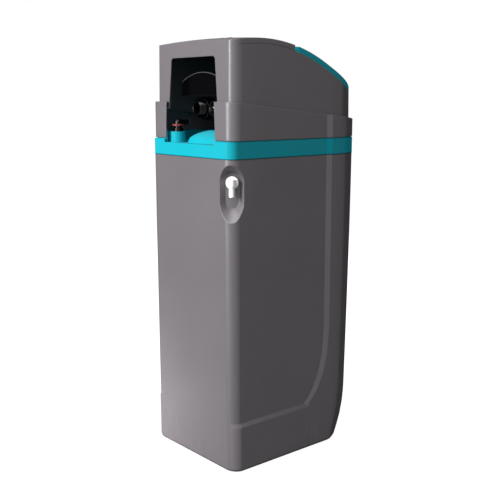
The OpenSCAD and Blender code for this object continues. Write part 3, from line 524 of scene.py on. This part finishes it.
class SOFTENER_OT_shells(bpy.types.Operator):
    """Rounds the edges of the large mouldings"""
    bl_idname = "softener.shells"
    bl_label = "Shells"

    def execute(self, context):
        sizes = context.scene.softener_sizes
        shortest = sizes.shell_round * SHORTEST_SHARE
        for node in SHELLS:
            bm = flat_copy(node)
            chosen = None
            if node == "cabinet":
                round_edges(bm, sizes.scoop_round, SHELL_ANGLE, SCOOP_SEGMENTS, 0.0, inside_scoop)
                chosen = outside_scoop
            round_edges(bm, sizes.shell_round, SHELL_ANGLE, EDGE_SEGMENTS, shortest, chosen)
            stand_in(bm, node)
        return {"FINISHED"}


class SOFTENER_OT_fittings(bpy.types.Operator):
    """Rounds the edges of the valve, the elbows and the buttons"""
    bl_idname = "softener.fittings"
    bl_label = "Fittings"

    def execute(self, context):
        width = context.scene.softener_sizes.fitting_round
        for node in FITTINGS:
            bm = flat_copy(node)
            round_edges(bm, width, FITTING_ANGLE, EDGE_SEGMENTS, width * SHORTEST_SHARE)
            stand_in(bm, node)
        return {"FINISHED"}


class SOFTENER_OT_ports(bpy.types.Operator):
    """Ring-shaped thread turns and rounded mouths on the inlet and the outlet"""
    bl_idname = "softener.ports"
    bl_label = "Threaded ports"

    def execute(self, context):
        sizes = context.scene.softener_sizes
        for node in PORTS:
            self.thread(node, sizes.thread_pitch, sizes.thread_depth)
        return {"FINISHED"}

    def thread(self, node, pitch, depth):
        port = node.replace("fitting", "port")
        mount = next(m for m in frame["record"]["mounts"] if m["name"] == port)
        radius = mount["dims"]["r_mm"] / MM_PER_M
        run = mount["dims"]["length_mm"] / MM_PER_M
        axis_x, axis_z = mount["pos_m"][0], mount["pos_m"][2]
        low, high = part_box(node)
        foot, end = low[1], high[1]
        start = end - run
        flange = (high[0] - low[0]) / 2
        neck = radius - NECK_STEP
        outline = [(PORT_BORE, foot), (flange, foot), (flange, foot + PORT_FLANGE),
                   (neck, foot + PORT_FLANGE), (neck, start)]
        for i in range(int(run / pitch)):
            y = start + i * pitch
            outline += [(radius - deep * depth, y + along * pitch) for deep, along in THREAD_TURN]
        outline += [(radius - depth, end - THREAD_END), (radius - depth - THREAD_END, end),
                    (PORT_BORE + MOUTH_ROUND, end), (PORT_BORE + MOUTH_MIDDLE, end - MOUTH_MIDDLE),
                    (PORT_BORE, end - MOUTH_ROUND)]
        bm = bmesh.new()
        verts = [bm.verts.new((axis_x + r, y, axis_z)) for r, y in outline]
        edges = [bm.edges.new((verts[i], verts[(i + 1) % len(verts)])) for i in range(len(verts))]
        bmesh.ops.spin(bm, geom=verts + edges, cent=(axis_x, 0.0, axis_z), axis=(0.0, 1.0, 0.0),
                       dvec=(0, 0, 0), angle=radians(360), steps=PORT_STEPS, use_merge=True)
        piece = place_piece(bm, node + "_thread", node, SLOT_OF[node])
        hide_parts(node)


class SOFTENER_OT_highlight_lip(bpy.types.Operator):
    """Bead along the arched back edge of the black drive cover, in the cabinet grey: a painted highlight on
    the cover's edge
    """
    bl_idname = "softener.lip"
    bl_label = "Cover lip"

    def execute(self, context):
        radius = context.scene.softener_sizes.highlight_lip_round
        low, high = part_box("drive_cover")
        crest = {}
        for vert in frame["nodes"]["drive_cover"].data.vertices:
            if vert.co.y > high[1] - EDGE_TOLERANCE:
                x = round(vert.co.x, EDGE_DIGITS)
                crest[x] = max(vert.co.z, crest.get(x, low[2]))
        bm = bmesh.new()
        upright = Matrix.Rotation(radians(90), 4, "Y")
        rings = []
        for x in sorted(crest):
            centre = Matrix.Translation((x, high[1] - radius, crest[x] - radius / 2))
            rings.append(bmesh.ops.create_circle(bm, segments=HIGHLIGHT_LIP_SEGMENTS, radius=radius,
                                                 matrix=centre @ upright)["verts"])
        for a, b in zip(rings, rings[1:]):
            loops = {e for v in a + b for e in v.link_edges if e.other_vert(v) in a + b}
            bmesh.ops.bridge_loops(bm, edges=[e for e in loops if len(e.link_faces) < 2])
        # The bead takes the cabinet grey, lighter than the black cover: a painted highlight along the
        # cover's arched edge
        place_piece(bm, "drive_cover_lip", "drive_cover", "grey_plastic")
        return {"FINISHED"}


class SOFTENER_OT_marks(bpy.types.Operator):
    """Marks on the buttons: bars, an up arrow, a down arrow and a ring"""
    bl_idname = "softener.marks"
    bl_label = "Button marks"

    def execute(self, context):
        sizes = context.scene.softener_sizes
        for node, shape in (("menu_button", self.bars), ("up_button", self.up_arrow),
                            ("down_button", self.down_arrow), ("regenerate_button", self.ring)):
            low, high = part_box(node)
            bm = bmesh.new()
            shape(bm, sizes.mark_size)
            faces = bmesh.ops.extrude_face_region(bm, geom=list(bm.faces))
            raised = [g for g in faces["geom"] if isinstance(g, bmesh.types.BMVert)]
            bmesh.ops.translate(bm, verts=raised, vec=(0, 0, sizes.mark_height))
            middle = ((low[0] + high[0]) / 2, (low[1] + high[1]) / 2, high[2] - sizes.mark_height)
            bmesh.ops.translate(bm, verts=bm.verts, vec=middle)
            place_piece(bm, node + "_mark", node, "white_plastic")
        return {"FINISHED"}

    def bars(self, bm, size):
        flat = Matrix.Diagonal((1.0, BAR_ASPECT, 1.0, 1.0))
        for row in (-1, 0, 1):
            place = Matrix.Translation((0, row * size / 3, 0)) @ flat
            bmesh.ops.create_grid(bm, x_segments=1, y_segments=1, size=size / 2, matrix=place)

    def up_arrow(self, bm, size, turn=0):
        bmesh.ops.create_circle(bm, cap_ends=True, segments=3, radius=size / 2,
                                matrix=Matrix.Rotation(radians(turn), 4, "Z"))

    def down_arrow(self, bm, size):
        self.up_arrow(bm, size, 180)

    def ring(self, bm, size):
        verts = []
        for share in (RING_INNER, RING_OUTER):
            verts += bmesh.ops.create_circle(bm, segments=RING_SEGMENTS, radius=size * share)["verts"]
        bmesh.ops.bridge_loops(bm, edges=list({e for v in verts for e in v.link_edges}))


class SOFTENER_OT_stage(bpy.types.Operator):
    """Pale floor, soft studio light and the camera"""
    bl_idname = "softener.stage"
    bl_label = "Stage"

    def execute(self, context):
        stage = context.scene.softener_stage
        self.world(context.scene, stage.ambient)
        self.floor(context.scene)
        for name, (place, aim, size) in LAMPS.items():
            lamp = self.lamp(context.scene, name, place, aim, size, getattr(stage, name + "_power"))
            if name == "fill":
                lamp.visible_glossy = lamp.visible_camera = False
        self.camera(context.scene, stage)
        context.scene.view_settings.view_transform = "Standard"
        return {"FINISHED"}

    def seen_directly(self, tree):
        """1 where the camera, a reflection or a view through glass meets the surface."""
        path = add_node(tree, "ShaderNodeLightPath").outputs
        total = path["Is Camera Ray"]
        for name in ("Is Glossy Ray", "Is Transmission Ray"):
            total = combine(tree, "MAXIMUM", total, path[name])
        return total

    def world(self, scene, ambient):
        world = bpy.data.worlds.new("Studio")
        scene.world = world
        world.use_nodes = True
        tree = world.node_tree
        back = tree.nodes["Background"]
        back.inputs["Color"].default_value = WHITE
        tree.links.new(map_range(tree, self.seen_directly(tree), (0.0, 1.0), (ambient, 1.0)),
                       back.inputs["Strength"])

    def floor(self, scene):
        bm = bmesh.new()
        bmesh.ops.create_grid(bm, x_segments=1, y_segments=1, size=FLOOR_SIZE)
        mesh = bpy.data.meshes.new("floor")
        bm.to_mesh(mesh)
        bm.free()
        tree, shader = start_finish("floor")
        shader.inputs["Base Color"].default_value = FLOOR_TONE
        shader.inputs["Roughness"].default_value = FLOOR_ROUGHNESS
        shader.inputs["Emission Color"].default_value = WHITE
        tree.links.new(map_range(tree, self.seen_directly(tree), (0.0, 1.0), (0.0, FLOOR_GLOW)),
                       shader.inputs["Emission Strength"])
        mesh.materials.append(finish("floor"))
        floor = bpy.data.objects.new("floor", mesh)
        scene.collection.objects.link(floor)

    def lamp(self, scene, name, place, aim, size, energy):
        light = bpy.data.lights.new(name, "AREA")
        light.shape = "RECTANGLE"
        light.size, light.size_y = size
        light.energy = energy
        lamp = bpy.data.objects.new(name, light)
        lamp.location = place
        lamp.rotation_euler = (Vector(aim) - Vector(place)).to_track_quat("-Z", "Y").to_euler()
        scene.collection.objects.link(lamp)
        return lamp

    def camera(self, scene, stage):
        lens = bpy.data.cameras.new("camera")
        lens.sensor_width = SENSOR_WIDTH
        lens.lens = stage.camera_lens
        lens.clip_end = CLIP_END
        camera = bpy.data.objects.new("camera", lens)
        camera.location = stage.camera_place
        camera.rotation_euler = Vector(stage.camera_aim).to_track_quat("-Z", "Y").to_euler()
        scene.collection.objects.link(camera)
        scene.camera = camera


OPERATORS = (SOFTENER_OT_finishes, SOFTENER_OT_shells, SOFTENER_OT_fittings, SOFTENER_OT_ports,
             SOFTENER_OT_highlight_lip, SOFTENER_OT_marks, SOFTENER_OT_stage)
GROUPS = {"softener_colours": SoftenerColours, "softener_sizes": SoftenerSizes,
          "softener_stage": SoftenerStage}


class SOFTENER_PT_panel(bpy.types.Panel):
    """Steps that dress the softener, with their sizes and colours"""
    bl_label = "Water softener"
    bl_space_type = "VIEW_3D"
    bl_region_type = "UI"
    bl_category = "Softener"

    def draw(self, context):
        for operator in OPERATORS:
            self.layout.operator(operator.bl_idname)
        for name, group in GROUPS.items():
            for prop in group.__annotations__:
                self.layout.prop(getattr(context.scene, name), prop)


def register():
    for cls in (*GROUPS.values(), *OPERATORS, SOFTENER_PT_panel):
        bpy.utils.register_class(cls)
    for name, group in GROUPS.items():
        setattr(bpy.types.Scene, name, PointerProperty(type=group))


def unregister():
    for name in GROUPS:
        delattr(bpy.types.Scene, name)
    for cls in (SOFTENER_PT_panel, *reversed(OPERATORS), *GROUPS.values()):
        bpy.utils.unregister_class(cls)


def main():
    register()
    bpy.ops.softener.finishes()
    bpy.ops.softener.shells()
    bpy.ops.softener.fittings()
    bpy.ops.softener.ports()
    bpy.ops.softener.lip()
    bpy.ops.softener.marks()
    bpy.ops.softener.stage()


if __name__ == "__main__":
    main()
